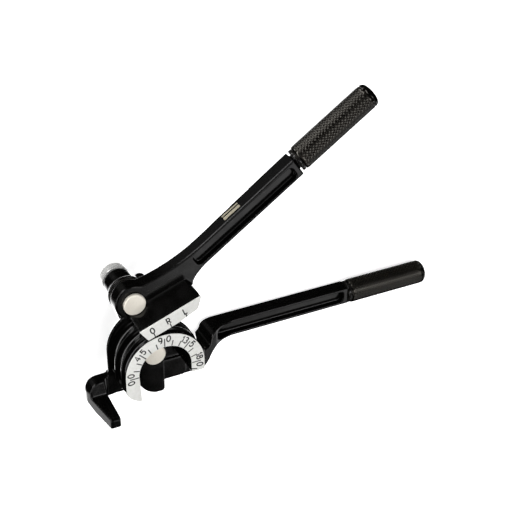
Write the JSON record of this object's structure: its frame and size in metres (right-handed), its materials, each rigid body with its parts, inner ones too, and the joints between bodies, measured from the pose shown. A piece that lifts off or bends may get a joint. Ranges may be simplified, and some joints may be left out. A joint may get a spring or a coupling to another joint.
{
  "type": "manual tube bender",
  "caption": "Two-handle lever tube bender: a grooved bending wheel with a tube hook and degree scale, a swinging link and a lifting shoe lever, with knurled grips.",
  "frame": {"origin": "centre of the rear end face of pivot pin A, which is the bending wheel's axis", "axes": "+X along the former handle towards its grip, +Y towards the wheel's 90 degree mark, +Z along the pivot pins towards the white scales"},
  "size_m": [0.2792, 0.1956, 0.0674],
  "materials": {
    "black_paint": "glossy black enamel over cast metal, worn thin on the edges",
    "white_enamel": "satin white enamel with black printed figures",
    "nickel": "nickel plate with fine scratches",
    "zinc": "zinc plate",
    "bronze": "oiled bearing bronze",
    "knurled_black": "blackened steel with a diamond knurl"
  },
  "bodies": {
    "former": {"former_casting": "black_paint", "degree_scale": "white_enamel", "pivot_pin_a": "nickel", "thrust_washer_a": "bronze", "rear_washer_a": "zinc", "lock_nut_a": "zinc", "former_collar": "black_paint", "former_grip": "knurled_black", "former_end_plug": "knurled_black"},
    "link": {"link_arm": "black_paint", "link_bush_a": "bronze", "pivot_pin_b": "nickel", "thrust_washer_b": "bronze", "rear_washer_b": "zinc", "cap_nut_b": "nickel"},
    "shoe": {"shoe_casting": "black_paint", "shoe_scale": "white_enamel", "shoe_bush_b": "bronze", "shoe_collar": "black_paint", "shoe_grip": "knurled_black", "shoe_end_plug": "knurled_black"}
  },
  "joints": [
    {"name": "link_swing", "type": "hinge", "parent": "former", "child": "link", "pos_m": [0, 0, 0.0098], "axis": [0, 0, 1], "range_deg": [-104, 71.5]},
    {"name": "shoe_lift", "type": "hinge", "parent": "link", "child": "shoe", "pos_m": [-0.0139, 0.0473, 0.0302], "axis": [0, 0, 1], "range_deg": [0, 100]}
  ]
}
